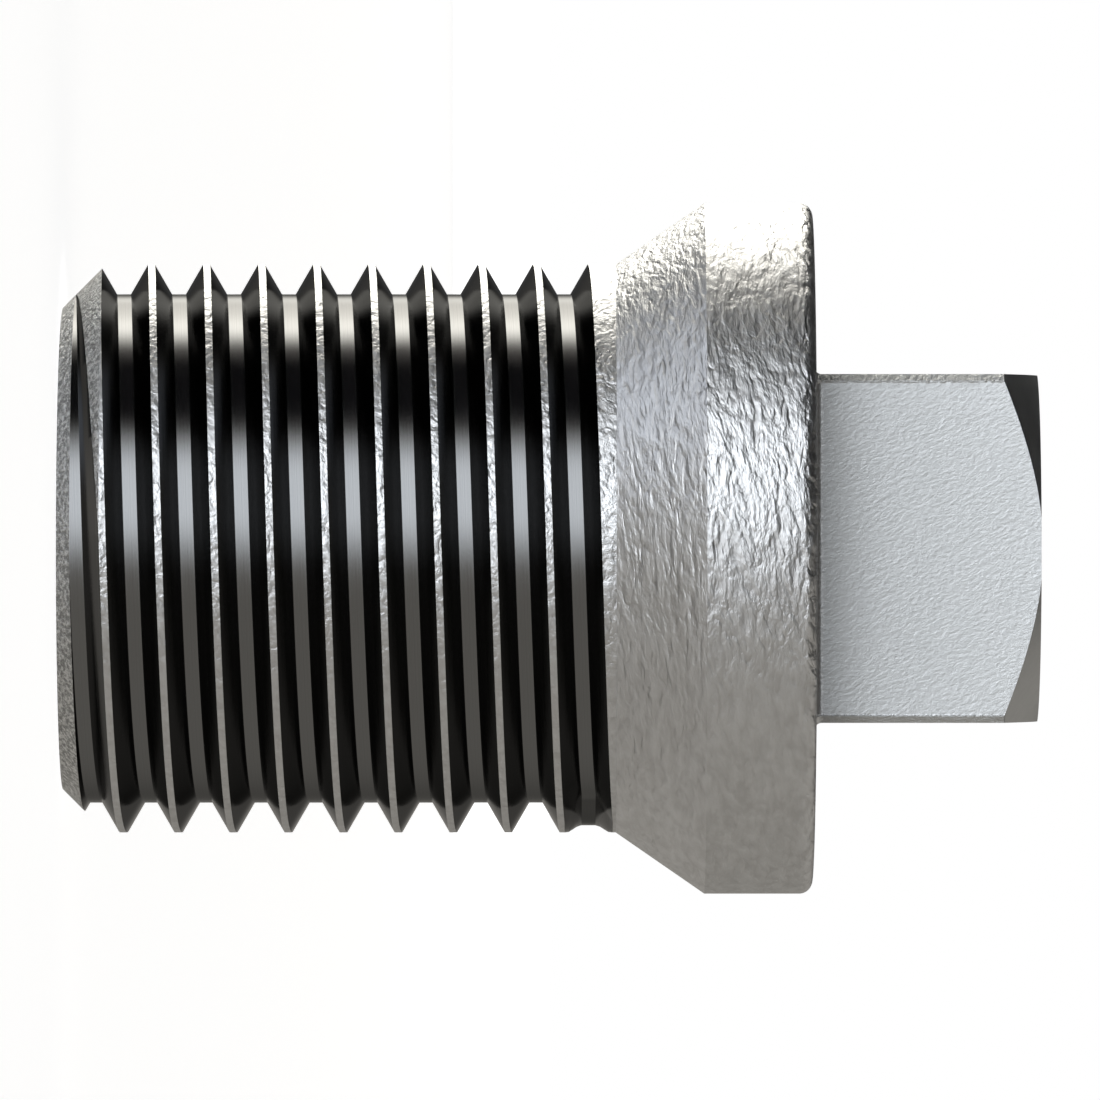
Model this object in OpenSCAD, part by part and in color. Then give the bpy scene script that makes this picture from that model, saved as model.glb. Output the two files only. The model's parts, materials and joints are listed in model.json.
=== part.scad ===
// Threaded pipe plug with a square drive head, one solid piece of steel.
// From the bottom up it has a straight threaded shank, a cone, a round flange and a square head.
// The axis is Z, and the plug stands on the end face of its shank. All sizes are in mm.

/* [Thread] */
// Diameter over the crests of the thread
thread_d = 13.157; // [10:0.001:15.4]
// Distance from one crest to the next
pitch = 1.273; // [0.9:0.001:1.5]
// Angle between the two flanks of the groove, in degrees
flank_angle = 60; // [56:1:64]
// Height of the 45 degree chamfer at the start of the thread
lead_chamfer = 1; // [0.3:0.05:2]
// Plain land between the mouth of the last groove and the cone
end_land = 0.07; // [0:0.01:2]
// Direction in which the groove stops climbing and starts to run out, in degrees from +X
runout_from = 344; // [0:1:359]
// Part of a turn over which the groove runs out, in degrees
runout_turn = 34; // [10:1:180]

/* [Shank and flange] */
// Length of the straight shank, from its end face to the foot of the cone
shank_len = 12.8; // [8:0.05:20]
// Height of the cone between the shank and the flange
cone_len = 2.05; // [0.5:0.05:4]
// Diameter of the flange
flange_d = 16; // [15.5:0.1:24]
// Thickness of the flange at its rim
flange_t = 2.5; // [1.5:0.05:5]
// Radius of the round on the edge of the flange beside the head
flange_round = 0.3; // [0.1:0.05:0.8]

/* [Square head] */
// Width of the head across its flats
head_af = 8; // [6:0.1:10]
// Height of the head above the flange
head_len = 5.2; // [3:0.05:10]
// Width of the small chamfers on the four upright edges of the head
head_edge = 0.15; // [0.05:0.05:0.6]
// Diameter of the round flat that is left on the end of the head
end_flat_d = 8.12; // [5:0.01:8.5]
// Angle of the chamfer that is turned on the end of the head, in degrees from the end face
end_chamfer_angle = 30; // [15:1:45]

/* [Resolution] */
// Steps in one turn of the groove
groove_steps = 40; // [24:4:60]

/* [Hidden] */
$fn = 96;

thread_r = thread_d / 2;
flange_r = flange_d / 2;
half_flank = flank_angle / 2;

// Heights of the faces, counted from the end face of the shank
flange_z = shank_len + cone_len;
head_z = flange_z + flange_t;

// The groove leaves a crest of an eighth of the pitch and has a flat root of a quarter of it
crest_w = pitch / 8;
root_w = pitch / 4;
mouth_w = pitch - crest_w;
groove_depth = (mouth_w - root_w) / 2 / tan(half_flank);
root_r = thread_r - groove_depth;

// The cutter stands out past the crests by this much, so that no flat side of it leaves a skin
cutter_over = 0.03;
cutter_r = thread_r / cos(180 / groove_steps) + cutter_over;
cutter_w = mouth_w + 2 * (cutter_r - thread_r) * tan(half_flank);

// The groove starts below the end face, climbs to its last height and runs out there
last_z = shank_len - end_land - mouth_w / 2;
climb = last_z + cutter_w / 2 + cutter_over;
climb_turn = 360 * climb / pitch;
climb_steps = ceil(groove_steps * climb / pitch);
runout_steps = ceil(groove_steps * runout_turn / 180);

// Each step of the groove is [turn left to the run-out in degrees, share of the run-out done]
groove_path = concat(
    [for (i = [0 : climb_steps - 1]) [climb_turn * (1 - i / climb_steps), 0]],
    [for (i = [0 : runout_steps]) [0, i / runout_steps]]
);

// Outline of the groove at one step, from its lower lip to its upper lip.
// In the run-out its bed rises fast at first, and then meets the surface at a shallow angle.
function groove_ring(step) =
    let (
        angle = runout_from - step[0] + runout_turn * step[1],
        z = last_z - pitch * step[0] / 360,
        shallow_r = cutter_r - cutter_over / 2,
        bed_r = shallow_r - (shallow_r - root_r) * pow(1 - step[1], 2)
    )
    [
        for (corner = [[cutter_r, -cutter_w], [bed_r, -root_w], [bed_r, root_w], [cutter_r, cutter_w]])
            [corner[0] * cos(angle), corner[0] * sin(angle), z + corner[1] / 2]
    ];

// The solid that the groove takes out of the shank
module groove() {
    rings = [for (step = groove_path) groove_ring(step)];
    last = len(rings) - 1;
    sides = [
        for (i = [0 : last - 1], j = [0 : 3])
            let (
                a = 4 * i + (j + 1) % 4,
                b = 4 * i + j
            )
            each [[a, b, b + 4], [a, b + 4, a + 4]]
    ];
    polyhedron(
        points = [for (ring = rings) each ring],
        faces = concat([[0, 1, 2, 3]], sides, [[4 * last + 3, 4 * last + 2, 4 * last + 1, 4 * last]])
    );
}

// Half section of everything that is turned on the lathe: shank, cone and flange
module turned_section() {
    difference() {
        polygon([
            [0, 0],
            [thread_r - lead_chamfer, 0],
            [thread_r, lead_chamfer],
            [thread_r, shank_len],
            [flange_r, flange_z],
            [flange_r, head_z],
            [0, head_z]
        ]);
        translate([flange_r - flange_round, head_z - flange_round])
            difference() {
                square(2 * flange_round);
                circle(flange_round);
            }
    }
}

// Shank, cone and flange, with the thread cut into the shank
module threaded_body() {
    color("#8d8b87")
        difference() {
            rotate_extrude()
                turned_section();
            groove();
        }
}

// Outline of the square head, with its four small chamfers
module head_outline() {
    half = head_af / 2;
    inner = half - head_edge;
    polygon([
        [half, -inner],
        [half, inner],
        [inner, half],
        [-inner, half],
        [-half, inner],
        [-half, -inner],
        [-inner, -half],
        [inner, -half]
    ]);
}

// Square head for the wrench, with the chamfer that is turned on its end. Its bar runs down through the flange
module square_head() {
    end_r = end_flat_d / 2;
    bar_len = flange_t + head_len;
    color("#c3c6c8")
        translate([0, 0, flange_z])
            intersection() {
                linear_extrude(bar_len)
                    head_outline();
                cylinder(h = bar_len, r1 = end_r + bar_len / tan(end_chamfer_angle), r2 = end_r);
            }
}

module plug() {
    threaded_body();
    square_head();
}

plug();
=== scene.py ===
# %% [markdown]
# # A threaded pipe plug in steel
#
# The plug is one piece of steel: a threaded shank, a cone, a round flange and a square head for a wrench.
# A real one starts as a forged blank with a rough, rippled skin. A lathe then cuts the thread, so the groove
# is smooth while the crests between its turns keep the forged skin. The model is made in the same order:
# first the turned shape, then the head, then the groove that is cut away, and last the finishes.
#
# The imported model comes first, because it fixes where everything is. Its box is measured straight away.

import json
import math

import bmesh
import bpy
from mathutils import Matrix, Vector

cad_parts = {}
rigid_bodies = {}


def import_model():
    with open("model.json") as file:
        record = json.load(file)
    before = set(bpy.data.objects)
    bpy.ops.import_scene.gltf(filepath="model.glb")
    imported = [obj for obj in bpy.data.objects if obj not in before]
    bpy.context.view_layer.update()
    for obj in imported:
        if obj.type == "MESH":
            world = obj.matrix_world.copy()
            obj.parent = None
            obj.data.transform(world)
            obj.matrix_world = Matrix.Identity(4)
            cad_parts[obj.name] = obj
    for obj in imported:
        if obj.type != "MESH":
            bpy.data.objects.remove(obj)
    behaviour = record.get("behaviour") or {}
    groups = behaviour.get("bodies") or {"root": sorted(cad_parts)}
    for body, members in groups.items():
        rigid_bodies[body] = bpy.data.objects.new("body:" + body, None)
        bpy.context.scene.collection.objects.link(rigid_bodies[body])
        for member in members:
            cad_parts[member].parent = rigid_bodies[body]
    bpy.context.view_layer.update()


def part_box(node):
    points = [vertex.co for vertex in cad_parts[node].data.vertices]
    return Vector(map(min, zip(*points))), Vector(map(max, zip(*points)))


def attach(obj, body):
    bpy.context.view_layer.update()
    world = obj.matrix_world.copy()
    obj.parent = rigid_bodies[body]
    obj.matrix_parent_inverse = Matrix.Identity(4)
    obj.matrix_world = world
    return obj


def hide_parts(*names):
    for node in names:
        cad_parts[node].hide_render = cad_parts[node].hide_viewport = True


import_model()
low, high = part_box("plug")
print("the plug's box in metres:", tuple(low), tuple(high))

# %% [markdown]
# ## Sizes
#
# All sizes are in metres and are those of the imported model. The plug stands on the end of its shank, at
# height zero, with its axis on Z. They could be typed in where they are used, but keeping each one here under
# a name lets a reader change one and see what follows from it. The flange is drawn a few microns small, so
# that its many-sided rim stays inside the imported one.

# %% Sizes of the plug
MM = 0.001
THREAD_R = 13.157 / 2 * MM
PITCH = 1.273 * MM
LEAD_CHAMFER = 1.0 * MM
SHANK_LEN = 12.8 * MM
CONE_LEN = 2.05 * MM
FLANGE_R = 7.996 * MM
FLANGE_T = 2.5 * MM
FLANGE_ROUND = 0.3 * MM
HEAD_AF = 8.0 * MM
HEAD_LEN = 5.2 * MM
HEAD_EDGE = 0.15 * MM
HEAD_FOOT_ROUND = 0.16 * MM
END_FLAT_R = 8.12 / 2 * MM
END_CHAMFER = math.radians(30)

FLANGE_Z = SHANK_LEN + CONE_LEN
HEAD_Z = FLANGE_Z + FLANGE_T
TOP_Z = HEAD_Z + HEAD_LEN
print("height of the plug in mm:", round(TOP_Z / MM, 3), "and when packed:", round(high.z / MM, 3))

# %% [markdown]
# The groove has a rule of its own. Its flanks stand at 60 degrees to each other, its flat root is a quarter
# of the pitch wide, and the crest that it leaves is an eighth of it. Its depth follows from these.

# %% Sizes of the groove
HALF_FLANK = math.radians(30)
CREST_W = PITCH / 8
ROOT_W = PITCH / 4
MOUTH_W = PITCH - CREST_W
GROOVE_DEPTH = (MOUTH_W - ROOT_W) / 2 / math.tan(HALF_FLANK)
END_LAND = 0.07 * MM
LAST_Z = SHANK_LEN - END_LAND - MOUTH_W / 2
RUNOUT_FROM = 344.0
RUNOUT_TURN = 32.0
TURN_STEPS = 240
print("depth of the groove in mm:", round(GROOVE_DEPTH / MM, 3))

# %% [markdown]
# ## Helpers for node trees
#
# Both the geometry and the materials below are made of nodes, and many of those only do arithmetic. Nodes can
# be placed by hand in the editor, but a script can be read and run again. A helper that adds one arithmetic
# node and gives back its result keeps each formula readable as one line.

# %% Helpers that add nodes
def add_node(tree, kind, **settings):
    """Adds one node and sets its plain properties."""
    node = tree.nodes.new(kind)
    for name, value in settings.items():
        setattr(node, name, value)
    return node


def join(tree, value, socket):
    """Links a socket to another, or writes a plain value into it."""
    if isinstance(value, bpy.types.NodeSocket):
        tree.links.new(value, socket)
    else:
        socket.default_value = value


def feed(tree, node, **inputs):
    """Links or sets inputs by name, where a space in the name is written as an underscore."""
    for name, value in inputs.items():
        join(tree, value, node.inputs[name.replace("_", " ")])
    return node


def calc(tree, operation, *values):
    """Adds one arithmetic node and gives its result."""
    node = add_node(tree, "ShaderNodeMath", operation=operation)
    for socket, value in zip(node.inputs, values):
        join(tree, value, socket)
    return node.outputs[0]


def split(tree, vector):
    """The X, Y and Z of a vector."""
    node = feed(tree, add_node(tree, "ShaderNodeSeparateXYZ"), Vector=vector)
    return node.outputs["X"], node.outputs["Y"], node.outputs["Z"]


def fade(tree, value, none_at, full_at):
    """A mask that rises softly from 0 to 1 between two values."""
    ramp = add_node(tree, "ShaderNodeMapRange", interpolation_type="SMOOTHSTEP")
    return feed(tree, ramp, Value=value, From_Min=none_at, From_Max=full_at).outputs[0]


print("helpers ready:", ", ".join(h.__name__ for h in (add_node, join, feed, calc, split, fade)))

# %% [markdown]
# ## The turned body
#
# Shank, cone and flange are round, so on the real plug they come out of a round die or off a lathe. A screw
# modifier could sweep them, and so could stacked cones and cylinders. Here half of the outline is written
# down once, as radii and heights, and swept round the axis, because then one list shows the whole shape. The
# only soft edge is the one beside the head, where the forging die had a small round.

# %% Sweep an outline round the axis
def arc_points(centre, radius, start, end, steps):
    """Points of (radius, height) along an arc, from one angle to another in degrees."""
    points = []
    for i in range(steps + 1):
        angle = math.radians(start + (end - start) * i / steps)
        points.append((centre[0] + radius * math.cos(angle), centre[1] + radius * math.sin(angle)))
    return points


def closed_rings(name, rings):
    """A closed mesh through rings that all have the same number of points, lowest ring first."""
    count = len(rings[0])
    verts = [point for ring in rings for point in ring]
    faces = [tuple(reversed(range(count)))]
    for level in range(len(rings) - 1):
        for i in range(count):
            a = level * count + i
            b = level * count + (i + 1) % count
            faces.append((a, b, b + count, a + count))
    top = (len(rings) - 1) * count
    faces.append(tuple(range(top, top + count)))
    mesh = bpy.data.meshes.new(name)
    mesh.from_pydata(verts, [], faces)
    mesh.validate()
    piece = bpy.data.objects.new(name, mesh)
    bpy.context.scene.collection.objects.link(piece)
    return piece


def turned(name, outline, steps=TURN_STEPS):
    """A round solid from an outline of (radius, height) points, lowest point first."""
    angles = [2 * math.pi * i / steps for i in range(steps)]
    return closed_rings(name, [[(r * math.cos(a), r * math.sin(a), z) for a in angles] for r, z in outline])


blank = turned("blank", [
    (THREAD_R - LEAD_CHAMFER, 0),
    (THREAD_R, LEAD_CHAMFER),
    (THREAD_R, SHANK_LEN),
    (FLANGE_R, FLANGE_Z),
] + arc_points((FLANGE_R - FLANGE_ROUND, HEAD_Z - FLANGE_ROUND), FLANGE_ROUND, 0, 90, 12))
print("faces of the turned body:", len(blank.data.polygons))

# %% [markdown]
# ## The square head
#
# The head is a square bar with small chamfers on its upright edges. Where it stands on the flange it has a
# tiny hollow round, which the die leaves there. A cube with bevels would give the chamfers but not the
# hollow, so the bar is made of outlines stacked on each other, wider at the foot. Its end is then turned:
# only what lies inside a wide, flat cone is kept, and that gives the four curved edges of a real wrench
# square.

# %% Stack the outlines of the bar
def square_outline(grow, height):
    """The bar's outline with its four chamfers, grown outwards on all sides."""
    half = HEAD_AF / 2
    inner = half - HEAD_EDGE + grow * math.tan(math.radians(22.5))
    wide = half + grow
    corners = [(wide, -inner), (wide, inner), (inner, wide), (-inner, wide),
               (-wide, inner), (-wide, -inner), (-inner, -wide), (inner, -wide)]
    return [(x, y, height) for x, y in corners]


foot = arc_points((HEAD_FOOT_ROUND, HEAD_Z + HEAD_FOOT_ROUND), HEAD_FOOT_ROUND, 270, 180, 6)
head_rings = [square_outline(HEAD_FOOT_ROUND, HEAD_Z - FLANGE_T / 2)]
head_rings += [square_outline(grow, height) for grow, height in foot]
head_rings += [square_outline(0, TOP_Z + MM)]
head = closed_rings("head", head_rings)
cone_r = END_FLAT_R + (HEAD_LEN + FLANGE_T) / math.tan(END_CHAMFER)
turning_cone = turned("turning_cone", [(cone_r, HEAD_Z - FLANGE_T), (END_FLAT_R, TOP_Z)])
print("outlines in the head:", len(head_rings))

# %% [markdown]
# ## The thread's groove
#
# The groove is the main work on a real plug, and it follows a rule, so Geometry Nodes make it. A screw
# modifier would also draw a helix, but it can't let the groove run out. A straight tube with twelve corners
# is laid along the thread's path: each of its rings is turned round the axis and lifted by one pitch for each
# turn. Ten corners follow the two flanks and the flat root, and two stand out past the crests so that the cut
# is clean. In the last part of a turn the tool is drawn back: the groove stops climbing, its bed rises to the
# surface, and its flanks melt into an S.

# %% Build the tree that makes the groove
def groove_tree():
    tree = bpy.data.node_groups.new("thread groove", "GeometryNodeTree")
    sockets = [
        ("Thread radius", "NodeSocketFloat"), ("Groove depth", "NodeSocketFloat"),
        ("Root width", "NodeSocketFloat"), ("Mouth width", "NodeSocketFloat"),
        ("Pitch", "NodeSocketFloat"), ("Last height", "NodeSocketFloat"),
        ("Steps in a turn", "NodeSocketInt"), ("Climbing steps", "NodeSocketInt"),
        ("Run-out steps", "NodeSocketInt"), ("Run-out from", "NodeSocketFloat"),
        ("Overlap", "NodeSocketFloat"), ("Finish", "NodeSocketMaterial"),
    ]
    for name, kind in sockets:
        tree.interface.new_socket(name=name, in_out="INPUT", socket_type=kind)
    tree.interface.new_socket(name="Groove", in_out="OUTPUT", socket_type="NodeSocketGeometry")
    given = add_node(tree, "NodeGroupInput").outputs

    corners = 12
    steps = calc(tree, "ADD", given["Climbing steps"], given["Run-out steps"])
    tube = feed(tree, add_node(tree, "GeometryNodeMeshCylinder", fill_type="NGON"),
                Vertices=corners, Side_Segments=steps, Radius=1.0, Depth=2.0)
    x, y, z = split(tree, add_node(tree, "GeometryNodeInputPosition").outputs[0])

    # Which ring, and which corner of it
    along = calc(tree, "DIVIDE", calc(tree, "ADD", z, 1.0), 2.0)
    ring = calc(tree, "ROUND", calc(tree, "MULTIPLY", along, steps))
    turn = calc(tree, "DIVIDE", calc(tree, "ARCTAN2", y, x), 2 * math.pi / corners)
    corner = calc(tree, "ROUND", calc(tree, "WRAP", turn, corners - 0.5, -0.5))

    # Corners count from the middle of the root: 0.5 to 4.5 lie on the flank, 5.5 stands past the crest
    offset = calc(tree, "SUBTRACT", corner, (corners - 1) / 2)
    side = calc(tree, "SIGN", offset)
    outwards = calc(tree, "ABSOLUTE", offset)
    down = calc(tree, "SUBTRACT", 1.0, calc(tree, "DIVIDE", calc(tree, "SUBTRACT", outwards, 0.5), 4.0))
    inside = calc(tree, "MAXIMUM", down, 0.0)
    past = calc(tree, "LESS_THAN", down, -0.01)

    # How far the run-out has gone, from 0 to 1, and what is left of the depth there
    run = calc(tree, "DIVIDE", calc(tree, "SUBTRACT", ring, given["Climbing steps"]), given["Run-out steps"])
    run = calc(tree, "MAXIMUM", run, 0.0)
    left = fade(tree, run, 1.0, 0.0)
    bend = calc(tree, "MINIMUM", calc(tree, "MULTIPLY", run, 2.0), 1.0)
    s_curve = calc(tree, "MULTIPLY", calc(tree, "MULTIPLY", inside, inside),
                   calc(tree, "SUBTRACT", 3.0, calc(tree, "MULTIPLY", inside, 2.0)))
    melt = calc(tree, "ADD", calc(tree, "SUBTRACT", 1.0, bend), calc(tree, "MULTIPLY", bend, s_curve))
    depth = calc(tree, "MULTIPLY", calc(tree, "MULTIPLY", given["Groove depth"], inside),
                 calc(tree, "MULTIPLY", left, melt))
    lift = calc(tree, "MULTIPLY", calc(tree, "MULTIPLY", run, run), 0.5)
    clear = calc(tree, "MULTIPLY", calc(tree, "ADD", lift, past), given["Overlap"])
    radius = calc(tree, "ADD", calc(tree, "SUBTRACT", given["Thread radius"], depth), clear)

    # Height within the groove, and the climb
    spread = calc(tree, "SUBTRACT", given["Mouth width"], given["Root width"])
    width = calc(tree, "ADD", calc(tree, "MULTIPLY", calc(tree, "SUBTRACT", 1.0, inside), spread),
                 given["Root width"])
    beyond = calc(tree, "MULTIPLY", calc(tree, "MULTIPLY", past, given["Overlap"]), math.tan(HALF_FLANK))
    half = calc(tree, "ADD", calc(tree, "MULTIPLY", width, 0.5), beyond)
    to_climb = calc(tree, "MAXIMUM", calc(tree, "SUBTRACT", given["Climbing steps"], ring), 0.0)
    fall = calc(tree, "DIVIDE", calc(tree, "MULTIPLY", to_climb, given["Pitch"]), given["Steps in a turn"])
    height = calc(tree, "SUBTRACT", given["Last height"], fall)
    height = calc(tree, "ADD", height, calc(tree, "MULTIPLY", half, side))

    # Direction round the axis
    steps_on = calc(tree, "SUBTRACT", ring, given["Climbing steps"])
    angle = calc(tree, "DIVIDE", calc(tree, "MULTIPLY", steps_on, 2 * math.pi), given["Steps in a turn"])
    angle = calc(tree, "ADD", angle, given["Run-out from"])
    point = feed(tree, add_node(tree, "ShaderNodeCombineXYZ"), Z=height,
                 X=calc(tree, "MULTIPLY", radius, calc(tree, "COSINE", angle)),
                 Y=calc(tree, "MULTIPLY", radius, calc(tree, "SINE", angle)))

    laid = feed(tree, add_node(tree, "GeometryNodeSetPosition"), Geometry=tube.outputs["Mesh"],
                Position=point.outputs[0])
    real = feed(tree, add_node(tree, "GeometryNodeRealizeInstances"), Geometry=laid.outputs[0])
    done = feed(tree, add_node(tree, "GeometryNodeSetMaterial"), Geometry=real.outputs[0],
                Material=given["Finish"])
    feed(tree, add_node(tree, "NodeGroupOutput"), Groove=done.outputs[0])
    return tree


thread_groove = groove_tree()
print("nodes that lay the groove:", len(thread_groove.nodes))

# %% [markdown]
# The tree runs on an empty mesh. A modifier's inputs are set by their identifiers, which the tree gives out
# when its sockets are made, and then the result is kept as a plain mesh. The same helper later keeps the
# result of each cut, so no modifier is left on the finished piece.

# %% Run the tree and keep its result as a plain mesh
def plain_result(piece, name):
    """The evaluated shape of a piece as an object with a plain mesh and no modifiers."""
    bpy.context.view_layer.update()
    depsgraph = bpy.context.evaluated_depsgraph_get()
    mesh = bpy.data.meshes.new_from_object(piece.evaluated_get(depsgraph), preserve_all_data_layers=True,
                                           depsgraph=depsgraph)
    mesh.name = name
    result = bpy.data.objects.new(name, mesh)
    bpy.context.scene.collection.objects.link(result)
    return result


def grow(name, tree, values):
    """Runs a Geometry Nodes tree with named values and keeps what it makes."""
    seed = bpy.data.objects.new(name + "_seed", bpy.data.meshes.new(name + "_seed"))
    bpy.context.scene.collection.objects.link(seed)
    modifier = seed.modifiers.new("grow", "NODES")
    modifier.node_group = tree
    for item in tree.interface.items_tree:
        if item.in_out == "INPUT" and item.name in values:
            modifier[item.identifier] = values[item.name]
    made = plain_result(seed, name)
    seed.modifiers.remove(modifier)
    bpy.data.objects.remove(seed)
    return made


forged_skin = bpy.data.materials.new("forged skin")
head_skin = bpy.data.materials.new("forged head")
cut_steel = bpy.data.materials.new("cut steel")

OVERLAP = 0.03 * MM
climbing = math.ceil((LAST_Z + MOUTH_W / 2 + 2 * OVERLAP) / PITCH * TURN_STEPS)
groove = grow("groove", thread_groove, {
    "Thread radius": THREAD_R, "Groove depth": GROOVE_DEPTH, "Root width": ROOT_W, "Mouth width": MOUTH_W,
    "Pitch": PITCH, "Last height": LAST_Z, "Steps in a turn": TURN_STEPS, "Climbing steps": climbing,
    "Run-out steps": round(RUNOUT_TURN / 360 * TURN_STEPS), "Run-out from": math.radians(RUNOUT_FROM),
    "Overlap": OVERLAP, "Finish": cut_steel,
})
print("rings in the groove:", climbing, "faces:", len(groove.data.polygons))

# %% [markdown]
# ## Cutting and joining
#
# The crests of a thread are what the tool leaves standing. They could be drawn turn by turn, but cutting them
# free is simpler and true to the workshop: the cone turns the end of the bar, the bar becomes one with the
# flange, and the groove is cut out of the shank, each with an exact boolean. The cut faces take the finish of
# what cut them, so the groove comes out in cut steel while everything else keeps the forged skin.

# %% Cut the thread and join the head
def combine(piece, other, operation):
    """Changes a piece by another with an exact boolean and removes the other."""
    modifier = piece.modifiers.new(operation, "BOOLEAN")
    modifier.operation = operation
    modifier.solver = "EXACT"
    modifier.material_mode = "TRANSFER"
    modifier.object = other
    result = plain_result(piece, piece.name + "_done")
    bpy.data.objects.remove(piece)
    bpy.data.objects.remove(other)
    return result


blank.data.materials.append(forged_skin)
head.data.materials.append(head_skin)
turning_cone.data.materials.append(head_skin)
head = combine(head, turning_cone, "INTERSECT")
body = combine(blank, groove, "DIFFERENCE")
body = combine(body, head, "UNION")
body.name = "plug_steel"
body.data.name = "plug_steel"
print("finishes on the body:", [m.name for m in body.data.materials], "faces:", len(body.data.polygons))

# %% [markdown]
# Cutting leaves points that lie on each other and large faces with many corners. They are merged and split
# here, and every face is turned outwards. Shading is then smooth across the small steps of the round faces,
# and stays crisp at each edge that bends by more than 18 degrees, as on the real plug.

# %% Close doubles, face outwards and set which edges are crisp
CRISP_FROM = math.radians(18)
SAME_PLACE = 1e-7
work = bmesh.new()
work.from_mesh(body.data)
bmesh.ops.remove_doubles(work, verts=work.verts, dist=SAME_PLACE)
bmesh.ops.dissolve_degenerate(work, edges=work.edges, dist=SAME_PLACE)
bmesh.ops.triangulate(work, faces=[f for f in work.faces if len(f.verts) > 4])
bmesh.ops.recalc_face_normals(work, faces=work.faces)
open_edges = sum(1 for e in work.edges if len(e.link_faces) != 2)
work.to_mesh(body.data)
work.free()
body.data.polygons.foreach_set("use_smooth", [True] * len(body.data.polygons))
body.data.set_sharp_from_angle(angle=CRISP_FROM)
triangles = sum(len(face.vertices) - 2 for face in body.data.polygons)
print("edges without two faces:", open_edges, "triangles:", triangles)

# %% [markdown]
# ## Patterns that run round the axis
#
# The ripples of the forged skin run round the plug. A pattern on plain X, Y and Z would look drawn out on
# two sides and dotted on the other two. So a small group first changes the coordinates: it shortens the way
# round the axis, which draws every spot out into a streak, and shears it a little, which makes the streaks
# lean. The distance from the axis counts as height too, so that the pattern also runs on over the cone.

# %% Group: coordinates drawn out round the axis
FLOAT, VECTOR = "NodeSocketFloat", "NodeSocketVector"
HEIGHT_FROM_RADIUS = 0.35


def shader_group(name, inputs, outputs):
    """A new shader node group with named inputs and outputs."""
    group = bpy.data.node_groups.new(name, "ShaderNodeTree")
    for title, kind, value in inputs:
        socket = group.interface.new_socket(name=title, in_out="INPUT", socket_type=kind)
        if value is not None:
            socket.default_value = value
    for title, kind in outputs:
        group.interface.new_socket(name=title, in_out="OUTPUT", socket_type=kind)
    return group


def from_axis(tree, x, y):
    """Distance of a point from the plug's axis."""
    square = calc(tree, "ADD", calc(tree, "MULTIPLY", x, x), calc(tree, "MULTIPLY", y, y))
    return calc(tree, "SQRT", square)


def streak_group():
    group = shader_group("streaks round the axis",
                         [("Vector", VECTOR, None), ("Shorten", FLOAT, 0.4), ("Lean", FLOAT, 0.0)],
                         [("Vector", VECTOR)])
    given = add_node(group, "NodeGroupInput").outputs
    x, y, z = split(group, given["Vector"])
    height = calc(group, "ADD", z, calc(group, "MULTIPLY", from_axis(group, x, y), HEIGHT_FROM_RADIUS))
    height = calc(group, "SUBTRACT", height, calc(group, "MULTIPLY", x, given["Lean"]))
    short_x = calc(group, "MULTIPLY", x, given["Shorten"])
    short_y = calc(group, "MULTIPLY", y, given["Shorten"])
    made = feed(group, add_node(group, "ShaderNodeCombineXYZ"), X=short_x, Y=short_y, Z=height)
    feed(group, add_node(group, "NodeGroupOutput"), Vector=made.outputs[0])
    return group


streaks = streak_group()
print("group made:", streaks.name, "with", len(streaks.nodes), "nodes")

# %% [markdown]
# ## Relief of forged steel
#
# Scale that is pressed into hot steel leaves swellings and hollows, narrow creases between them, and a fine
# grain over everything. Each could be a pattern of its own in each material, but shank, flange and head were
# all struck in the same die. So one group gives a height for all of it, and each material sets the size and
# the strength for its own surface. The creases come from a noise whose middle value is pulled into a line.

# %% Group: height of the forged relief
def noise(tree, where, scale, detail, rough=0.5):
    """A noise pattern, whose value and colour are both read below."""
    return feed(tree, add_node(tree, "ShaderNodeTexNoise"), Vector=where, Scale=scale, Detail=detail,
                Roughness=rough)


def vector_calc(tree, operation, first, second=None, socket=1):
    """Adds one node of vector arithmetic and gives its result."""
    node = add_node(tree, "ShaderNodeVectorMath", operation=operation)
    join(tree, first, node.inputs[0])
    if second is not None:
        join(tree, second, node.inputs[socket])
    return node.outputs[0]


def forged_group():
    group = shader_group("forged relief",
                         [("Vector", VECTOR, None), ("Size", FLOAT, 4000.0), ("Creases", FLOAT, 0.5),
                          ("Grain", FLOAT, 0.2), ("Waviness", FLOAT, 0.5)],
                         [("Height", FLOAT), ("Patches", FLOAT)])
    given = add_node(group, "NodeGroupInput").outputs
    sized = vector_calc(group, "SCALE", given["Vector"], given["Size"], "Scale")
    patches = noise(group, sized, 0.35, 2.0, 0.55)
    # The streaks wander, because a wider noise pushes their coordinates about
    wander = vector_calc(group, "SCALE", patches.outputs["Color"], given["Waviness"], "Scale")
    moved = vector_calc(group, "ADD", sized, wander)
    swell = noise(group, moved, 1.2, 3.5, 0.56).outputs[0]
    # A crease lies where its own noise passes the middle, and fades out here and there
    line = noise(group, moved, 0.9, 1.0).outputs[0]
    off_middle = calc(group, "DIVIDE", calc(group, "ABSOLUTE", calc(group, "SUBTRACT", line, 0.5)), 0.13)
    notch = calc(group, "SUBTRACT", 1.0, calc(group, "MINIMUM", off_middle, 1.0))
    present = fade(group, noise(group, sized, 0.9, 1.0).outputs[0], 0.35, 0.6)
    crease = calc(group, "MULTIPLY", calc(group, "MULTIPLY", notch, present), given["Creases"])
    grain = calc(group, "MULTIPLY", noise(group, moved, 4.0, 1.0).outputs[0], given["Grain"])
    height = calc(group, "ADD", calc(group, "SUBTRACT", swell, crease), grain)
    feed(group, add_node(group, "NodeGroupOutput"), Height=height, Patches=patches.outputs[0])
    return group


forged = forged_group()
print("group made:", forged.name, "with", len(forged.nodes), "nodes")

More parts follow.
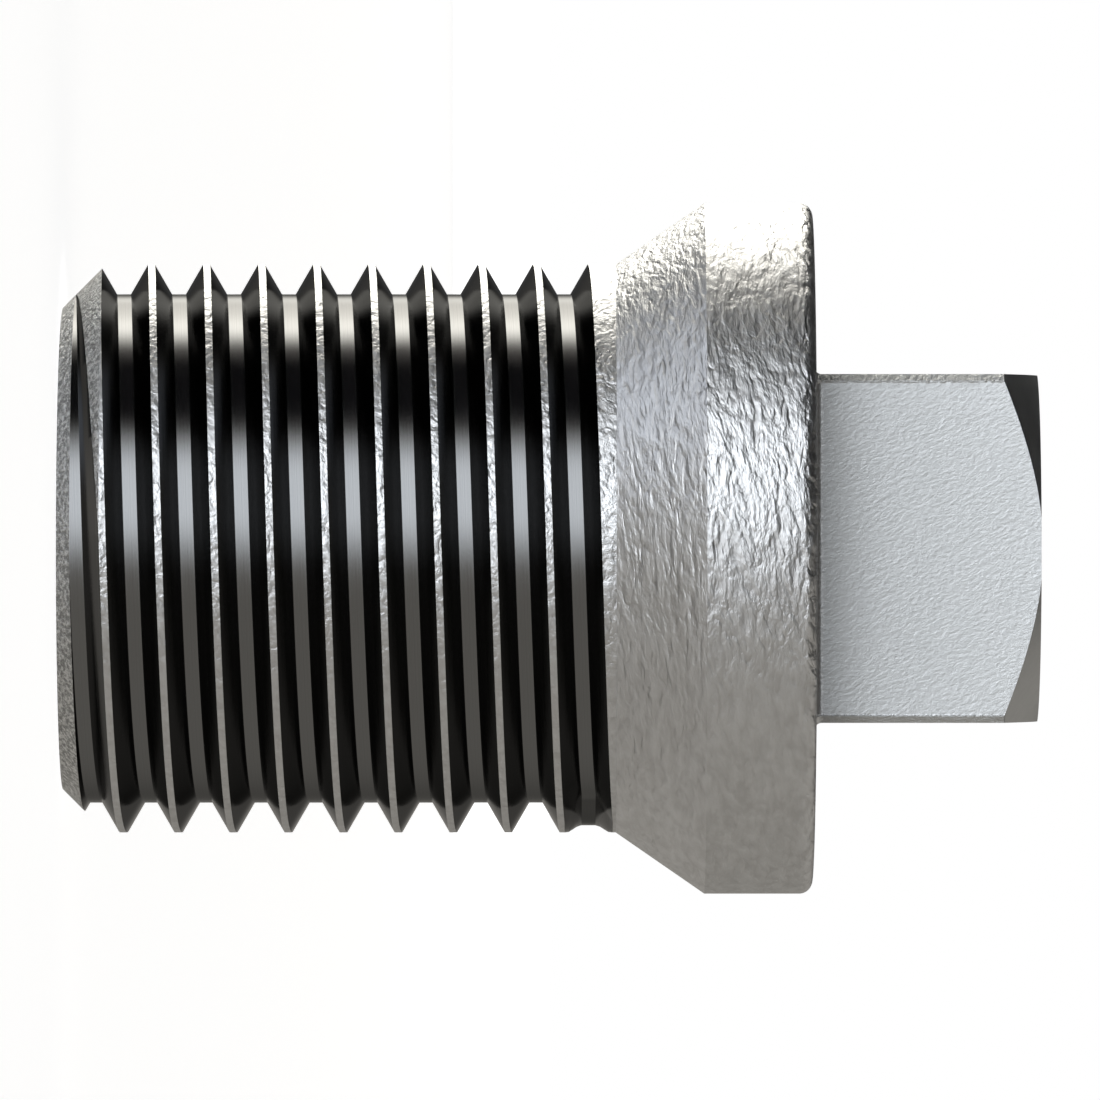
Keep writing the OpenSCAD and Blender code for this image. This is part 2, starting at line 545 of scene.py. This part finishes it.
# %% [markdown]
# ## Helpers for the finishes
#
# Each finish starts from the same few nodes: the shader, the object's own coordinates, and patterns that
# become a colour or a roughness. A noise rarely leaves the middle of its range, so only that middle is spread
# over the colours. Bare steel is a metal all over, so that number is set straight on the shader.

# %% Helpers for materials
NOISE_LOW, NOISE_HIGH = 0.3, 0.7


def place_group(tree, group, **inputs):
    """Puts a node group into a material with its own values."""
    return feed(tree, add_node(tree, "ShaderNodeGroup", node_tree=group), **inputs)


def steel_nodes(material):
    """Clears a material and gives its tree, its shader and the object's own coordinates."""
    material.use_nodes = True
    tree = material.node_tree
    tree.nodes.clear()
    shader = add_node(tree, "ShaderNodeBsdfPrincipled")
    shader.inputs["Metallic"].default_value = 1.0
    output = add_node(tree, "ShaderNodeOutputMaterial")
    tree.links.new(shader.outputs[0], output.inputs["Surface"])
    where = add_node(tree, "ShaderNodeTexCoord").outputs["Object"]
    return tree, shader, where


def between(tree, value, low_value, high_value):
    """The usual range of a noise turned into another range of values."""
    return feed(tree, add_node(tree, "ShaderNodeMapRange"), Value=value, From_Min=NOISE_LOW,
                From_Max=NOISE_HIGH, To_Min=low_value, To_Max=high_value).outputs[0]


def two_tones(tree, value, dark, light):
    """The usual range of a noise turned into a colour between two."""
    ramp = add_node(tree, "ShaderNodeValToRGB")
    for stop, place, colour in zip(ramp.color_ramp.elements, (NOISE_LOW, NOISE_HIGH), (dark, light)):
        stop.position = place
        stop.color = (*colour, 1)
    tree.links.new(value, ramp.inputs[0])
    return ramp.outputs[0]


def blend(tree, share, first, second):
    """A colour that goes from the first to the second as the share goes from 0 to 1."""
    mix = add_node(tree, "ShaderNodeMix", data_type="RGBA")
    join(tree, share, mix.inputs["Factor"])
    for value, socket in ((first, mix.inputs[6]), (second, mix.inputs[7])):
        join(tree, value if isinstance(value, bpy.types.NodeSocket) else (*value, 1), socket)
    return mix.outputs[2]


print("helpers ready:", ", ".join(h.__name__ for h in (place_group, steel_nodes, between, two_tones, blend)))

# %% [markdown]
# ## Forged skin of shank, cone and flange
#
# The skin was left as it came from the die and then tumbled, so its high places are bright and its hollows
# keep a little scale. On the real plug the ripples are long on the flange, deeper on the round beside the
# head, and short on the narrow crests. The chamfer at the start of the thread was sawn: it has a fine, dark
# grain and no ripples at all. One material does all of this, because it is one skin, and masks on height
# tell the places apart.

# %% Material: forged skin
def finish_forged_skin():
    tree, shader, where = steel_nodes(forged_skin)
    z = split(tree, where)[2]
    # Where the sawn start, the shank and the round beside the head lie
    start_face = fade(tree, z, LEAD_CHAMFER + 0.01 * MM, LEAD_CHAMFER - 0.03 * MM)
    shank = fade(tree, z, SHANK_LEN + 0.002 * MM, SHANK_LEN - 0.002 * MM)
    rear_round = fade(tree, z, HEAD_Z - 0.34 * MM, HEAD_Z - 0.2 * MM)
    # Ripples are drawn out to more than twice their width, but hardly at all on the shank
    shorten = calc(tree, "MULTIPLY_ADD", shank, 0.4, 0.43)
    round_axis = place_group(tree, streaks, Vector=where, Shorten=shorten, Lean=0.1).outputs[0]
    relief = place_group(tree, forged, Vector=round_axis, Size=3700.0, Creases=0.2, Grain=0.12, Waviness=1.2)
    fine = place_group(tree, forged, Vector=where, Size=8500.0, Creases=0.0, Grain=0.4, Waviness=0.0)
    # They are nearly twice as deep on the round, a little shallower on the shank, and end where it was sawn
    strength = calc(tree, "MULTIPLY_ADD", rear_round, 0.9, 1.0)
    strength = calc(tree, "ADD", strength, calc(tree, "MULTIPLY", shank, -0.15))
    strength = calc(tree, "MULTIPLY", strength, calc(tree, "SUBTRACT", 1.0, start_face))
    ripples = calc(tree, "MULTIPLY", calc(tree, "SUBTRACT", relief.outputs["Height"], 0.5), strength)
    grains = calc(tree, "MULTIPLY", calc(tree, "SUBTRACT", fine.outputs["Height"], 0.7), start_face)
    height = calc(tree, "ADD", ripples, calc(tree, "MULTIPLY_ADD", grains, 0.7, 0.5))
    bump = feed(tree, add_node(tree, "ShaderNodeBump"), Height=height, Distance=0.063 * MM)
    skin = two_tones(tree, height, (0.69, 0.685, 0.68), (0.83, 0.83, 0.83))
    speckle = calc(tree, "MULTIPLY_ADD", fine.outputs["Height"], 1.7, -0.72)
    sawn = two_tones(tree, speckle, (0.36, 0.36, 0.355), (0.93, 0.93, 0.92))
    feed(tree, shader, Base_Color=blend(tree, start_face, skin, sawn),
         Roughness=between(tree, relief.outputs["Patches"], 0.39, 0.45), Normal=bump.outputs[0])


finish_forged_skin()
print("finish made:", forged_skin.name, "with", len(forged_skin.node_tree.nodes), "nodes")

# %% [markdown]
# ## Forged head
#
# The head is flatter than the flange, because the dies press it on its four flats. Its ripples are small and
# shallow and run slantwise over each flat. The upright edges are battered, so their relief is deeper. The
# lower part of the head mirrors the dark flange, and that shade is painted into its colour: a darker colour
# that fades out over the lower third of the head. The hollow round at the foot mirrors the dark flange too,
# so its colour is painted lighter, with a ragged edge that follows the relief.

# %% Material: forged head
def slanting(tree, x, y, z):
    """Coordinates that run on round the bar and along ripples that slant over each flat."""
    across = calc(tree, "MULTIPLY", calc(tree, "SUBTRACT", x, y), 0.3)
    flat = feed(tree, add_node(tree, "ShaderNodeCombineXYZ"), X=calc(tree, "ADD", x, y), Y=across, Z=z)
    leaning = feed(tree, add_node(tree, "ShaderNodeMapping", vector_type="TEXTURE"), Vector=flat.outputs[0])
    leaning.inputs["Rotation"].default_value = (0, math.radians(68), 0)
    leaning.inputs["Scale"].default_value = (1.7, 1, 1)
    return leaning.outputs[0]


def finish_head_skin():
    tree, shader, where = steel_nodes(head_skin)
    x, y, z = split(tree, where)
    relief = place_group(tree, forged, Vector=slanting(tree, x, y, z), Size=10200.0, Creases=0.0, Grain=0.3,
                         Waviness=0.7)
    swell = calc(tree, "SUBTRACT", relief.outputs["Height"], 0.5)
    to_edge = calc(tree, "ADD", calc(tree, "ABSOLUTE", x), calc(tree, "ABSOLUTE", y))
    edge = fade(tree, to_edge, HEAD_AF - HEAD_EDGE - 0.06 * MM, HEAD_AF - HEAD_EDGE - 0.01 * MM)
    # Battered edges have eight times the relief of the flats
    deeper = calc(tree, "MULTIPLY_ADD", edge, 7.0, 1.0)
    bump = feed(tree, add_node(tree, "ShaderNodeBump"), Distance=0.0068 * MM,
                Height=calc(tree, "MULTIPLY", swell, deeper))
    # Painted shade: the colour darkens towards the flange, which the lower head mirrors, and fades out 1.9 mm
    # above it
    near_foot = feed(tree, add_node(tree, "ShaderNodeMapRange"), Value=z, From_Min=HEAD_Z + 1.9 * MM,
                     From_Max=HEAD_Z).outputs[0]
    foot_painted_shade = calc(tree, "MULTIPLY", calc(tree, "MULTIPLY", near_foot, near_foot), 0.52)
    # Painted light: the hollow round at the foot is lighter in colour, to offset the dark flange that it
    # mirrors
    ragged = calc(tree, "ADD", z, calc(tree, "MULTIPLY", swell, 0.25 * MM))
    corner = fade(tree, ragged, HEAD_Z + 0.26 * MM, HEAD_Z + 0.10 * MM)
    clean = two_tones(tree, relief.outputs["Patches"], (0.745, 0.755, 0.755), (0.79, 0.80, 0.80))
    rough = between(tree, relief.outputs["Patches"], 0.34, 0.38)
    colour_with_painted_shade = blend(tree, foot_painted_shade, clean, (0.2, 0.2, 0.2))
    feed(tree, shader, Base_Color=blend(tree, corner, colour_with_painted_shade, (0.9, 0.9, 0.9)),
         Roughness=calc(tree, "MULTIPLY_ADD", edge, 0.14, rough), Normal=bump.outputs[0])


finish_head_skin()
print("finish made:", head_skin.name, "with", len(head_skin.node_tree.nodes), "nodes")

# %% [markdown]
# ## Lines of the thread tool
#
# A tool that cuts a thread leaves a smooth surface with hair-fine lines that follow the groove. Every turn
# is cut by the same tool, so the lines repeat from turn to turn. They could be drawn as rings, but a ring
# would cross the groove slowly. Here they hang on one number: how far a point lies along the pitch, once the
# climb of the thread is taken away.

# %% Group: lines that the thread tool leaves
def tool_lines_group():
    group = shader_group("tool lines",
                         [("Vector", VECTOR, None), ("Pitch", FLOAT, PITCH), ("Lines", FLOAT, 30.0)],
                         [("Height", FLOAT), ("Patches", FLOAT)])
    given = add_node(group, "NodeGroupInput").outputs
    x, y, z = split(group, given["Vector"])
    turn = calc(group, "DIVIDE", calc(group, "ARCTAN2", y, x), 2 * math.pi)
    share = calc(group, "FRACT", calc(group, "SUBTRACT", calc(group, "DIVIDE", z, given["Pitch"]), turn))
    line = feed(group, add_node(group, "ShaderNodeTexNoise", noise_dimensions="1D"),
                W=calc(group, "MULTIPLY", share, given["Lines"]), Scale=1.0, Detail=3.0, Roughness=0.65)
    wide = noise(group, given["Vector"], 900.0, 2.0)
    feed(group, add_node(group, "NodeGroupOutput"), Height=line.outputs[0], Patches=wide.outputs[0])
    return group


tool_lines = tool_lines_group()
print("group made:", tool_lines.name, "with", len(tool_lines.nodes), "nodes")

# %% [markdown]
# ## Cut steel of the groove
#
# The groove is smooth steel, darker than the skin, and it shines like dark glass. Its narrow root is a little
# less shiny than the two flanks, and the flanks carry painted shade: their colour is darker than the root's,
# for the shade that falls deep in the groove. Root and flanks could be two materials, but they are one cut,
# so a mask on the distance from the axis tells them apart.

# %% Material: cut steel
def finish_cut_steel():
    tree, shader, where = steel_nodes(cut_steel)
    shader.inputs["Specular Tint"].default_value = (0.45, 0.45, 0.45, 1)
    lines = place_group(tree, tool_lines, Vector=where, Pitch=PITCH, Lines=90.0)
    bump = feed(tree, add_node(tree, "ShaderNodeBump"), Height=lines.outputs["Height"], Distance=0.0009 * MM)
    x, y, z = split(tree, where)
    root_r = THREAD_R - GROOVE_DEPTH
    flank = fade(tree, from_axis(tree, x, y), root_r + 0.005 * MM, root_r + 0.05 * MM)
    root_tone = two_tones(tree, lines.outputs["Height"], (0.26, 0.26, 0.26), (0.32, 0.32, 0.32))
    # Painted shade: the flanks are darker than the root, for the shade deep in the groove
    flank_painted_shade = two_tones(tree, lines.outputs["Height"], (0.18, 0.18, 0.18), (0.22, 0.22, 0.22))
    rough = between(tree, lines.outputs["Patches"], 0.13, 0.17)
    feed(tree, shader, Base_Color=blend(tree, flank, root_tone, flank_painted_shade),
         Roughness=calc(tree, "MULTIPLY_ADD", flank, -0.06, rough), Normal=bump.outputs[0])


finish_cut_steel()
print("finish made:", cut_steel.name, "with", len(cut_steel.node_tree.nodes), "nodes")

# %% [markdown]
# ## Into the frame
#
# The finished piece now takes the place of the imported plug. It was built round the same origin, so it is not
# moved or scaled here. It rides on the root, because nothing on a plug moves.

# %% Put the piece in the frame
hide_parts("plug")
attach(body, "root")
print("the piece stands for the packed plug:", body.name)

# %% [markdown]
# ## Floor and world
#
# Steel is photographed on white so that its outline is clear. The floor and the world look white because of
# their own colour, while the light that they throw on other things stays at a plain level. The floor keeps a
# faint shadow under the plug. It is left out of reflections, because the steel in the photograph mirrors
# darker cloth on that side.

# %% Floor
def white_where_seen(tree):
    """A mask that is 1 for what the camera, a reflection or glass sees, and 0 for light on other things."""
    path = add_node(tree, "ShaderNodeLightPath").outputs
    seen = calc(tree, "ADD", path["Is Camera Ray"], path["Is Glossy Ray"])
    return calc(tree, "MINIMUM", calc(tree, "ADD", seen, path["Is Transmission Ray"]), 1.0)


FLOOR_WIDTH = 400
FLOOR_GLOW = 0.86
bpy.ops.mesh.primitive_plane_add(size=FLOOR_WIDTH, location=(0, 0, 0))
floor = bpy.context.object
floor.name = "floor"
floor_paint = bpy.data.materials.new("white floor")
floor_paint.use_nodes = True
tree = floor_paint.node_tree
tree.nodes.clear()
paint = feed(tree, add_node(tree, "ShaderNodeBsdfPrincipled"), Base_Color=(0.8, 0.8, 0.8, 1), Roughness=1.0,
             Specular_IOR_Level=0.0, Emission_Color=(1, 1, 1, 1),
             Emission_Strength=calc(tree, "MULTIPLY", white_where_seen(tree), FLOOR_GLOW))
tree.links.new(paint.outputs[0], add_node(tree, "ShaderNodeOutputMaterial").inputs[0])
floor.data.materials.append(floor_paint)
floor.visible_glossy = False
print("floor:", floor.name, "painted with", floor_paint.name)

# %% World
LIGHT_LEVEL = 0.6
world = bpy.data.worlds.new("studio")
bpy.context.scene.world = world
world.use_nodes = True
tree = world.node_tree
tree.nodes.clear()
level = calc(tree, "MULTIPLY_ADD", white_where_seen(tree), 1 - LIGHT_LEVEL, LIGHT_LEVEL)
sky = feed(tree, add_node(tree, "ShaderNodeBackground"), Color=(1, 1, 1, 1), Strength=level)
tree.links.new(sky.outputs[0], add_node(tree, "ShaderNodeOutputWorld").inputs[0])
print("world:", world.name)

# %% [markdown]
# ## The studio tent
#
# Steel has hardly any colour of its own: it shows what stands round it. Lamps alone would give it a few hot
# spots on black, so the plug stands in a round tent of grey cloth with soft panels on it. Each panel has a
# place, counted in degrees from the front towards the left and in degrees above the horizon, a soft edge on
# each side, and a colour. A cool panel in front and a bright warm one at the back on the left, with black
# between them, give the crests and the flange their light and dark bands. The camera looks through the cloth.

# %% Panels of the tent
CLOTH = (0.335, 0.32, 0.295)
PANELS = [
    # (aside: from, to, soft, soft), (above: from, to, soft, soft), colour
    ((-180, 12, 8, 10), (-98, -38, 6, 12), (0.285, 0.272, 0.25)),  # darker cloth low on the right
    ((50, 110, 20, 14), (-66, -40, 12, 13), (1.05, 1.14, 1.30)),  # cool panel low on the left
    ((62, 161, 12, 9), (-98, -74, 6, 8), (0.05, 0.05, 0.05)),  # dark cloth below it
    ((110, 161, 12, 9), (-88, -24, 10, 8), (0.05, 0.05, 0.05)),  # dark cloth low at the back
    ((-1, 47, 24, 14), (-32, 10, 13, 6), (3.1, 3.27, 3.47)),  # bright cool panel in front
    ((-20, 62, 14, 10), (14, 72, 5, 6), (0.01, 0.01, 0.01)),  # black above it
    ((-168, 64, 10, 10), (-8, 8, 4, 4), (0.25, 0.24, 0.22)),  # grey border at the height of the plug
    ((55, 101, 9, 10), (-14, 60, 6, 10), (0.008, 0.008, 0.009)),  # black between the two bright panels
    ((2, 46, 14, 12), (-7, 7, 4, 4), (1.64, 1.73, 1.83)),  # dimmer middle of the panel in front
    ((168, 200, 6, 10), (-30, 58, 8, 8), (0.07, 0.07, 0.07)),  # dark cloth behind the plug
    ((114, 158, 13, 8), (-18, 11, 6, 5), (4.7, 4.6, 4.24)),  # bright warm panel at the back on the left
    ((120, 152, 13, 8), (-7, 8, 4, 4), (3.1, 3.0, 2.73)),  # its dimmer middle
]
print("panels in the tent:", len(PANELS))

# %% Tent
def window(tree, value, start, end, soft_start, soft_end):
    """A mask that is 1 between two values, with a soft edge on each side."""
    up = fade(tree, value, start - soft_start, start + soft_start)
    down = fade(tree, value, end + soft_end, end - soft_end)
    return calc(tree, "MULTIPLY", up, down)


def tent_paint():
    cloth = bpy.data.materials.new("tent cloth")
    cloth.use_nodes = True
    tree = cloth.node_tree
    tree.nodes.clear()
    where = add_node(tree, "ShaderNodeTexCoord").outputs["Object"]
    unit = vector_calc(tree, "NORMALIZE", where)
    x, y, z = split(tree, unit)
    to_left = calc(tree, "ARCTAN2", calc(tree, "MULTIPLY", x, -1.0), calc(tree, "MULTIPLY", y, -1.0))
    aside = calc(tree, "DEGREES", to_left)
    above = calc(tree, "DEGREES", calc(tree, "ARCSINE", z))
    # Black cloth hangs over the left half, with a soft edge above the plug's axis
    black_half = calc(tree, "MULTIPLY", fade(tree, x, 0.34, 0.0), fade(tree, above, 4.0, 15.0))
    colour = blend(tree, black_half, CLOTH, (0.01, 0.01, 0.01))
    for across, upwards, tone in PANELS:
        share = calc(tree, "MULTIPLY", window(tree, aside, *across), window(tree, above, *upwards))
        colour = blend(tree, share, colour, tone)
    glow = feed(tree, add_node(tree, "ShaderNodeEmission"), Color=colour, Strength=1.0)
    tree.links.new(glow.outputs[0], add_node(tree, "ShaderNodeOutputMaterial").inputs[0])
    cloth.cycles.emission_sampling = "NONE"
    return cloth


TENT_R = 1.5
bpy.ops.mesh.primitive_uv_sphere_add(segments=96, ring_count=48, radius=TENT_R, location=(0, 0, HEAD_Z / 2))
tent = bpy.context.object
tent.name = "tent"
tent.data.materials.append(tent_paint())
tent.visible_camera = False
tent.visible_shadow = False
print("tent:", tent.name, "with", len(tent.data.materials[0].node_tree.nodes), "nodes in its cloth")

# %% [markdown]
# ## Camera
#
# The camera looks level at the standing plug from the front. It is turned a quarter on its own axis, so that
# the plug lies on its side in the picture with the thread on the left, as small turned parts are often shown.
# A long lens keeps the outline of the thread almost straight.

# %% Camera
CAMERA_AWAY = 0.37075
CAMERA_HEIGHT = 0.01128
CAMERA_ASIDE = 0.000035
FRAME_WIDTH = 0.025489
SENSOR_WIDTH = 36
camera_data = bpy.data.cameras.new("camera")
camera_data.sensor_width = SENSOR_WIDTH
camera_data.lens = SENSOR_WIDTH * CAMERA_AWAY / FRAME_WIDTH
camera_data.clip_start = 0.01
camera = bpy.data.objects.new("camera", camera_data)
camera.matrix_world = Matrix((
    (0, -1, 0, CAMERA_ASIDE),
    (0, 0, -1, -CAMERA_AWAY),
    (1, 0, 0, CAMERA_HEIGHT),
    (0, 0, 0, 1),
))
bpy.context.scene.collection.objects.link(camera)
bpy.context.scene.camera = camera
bpy.context.scene.view_settings.view_transform = "Standard"
print("focal length in mm:", round(camera_data.lens, 1))
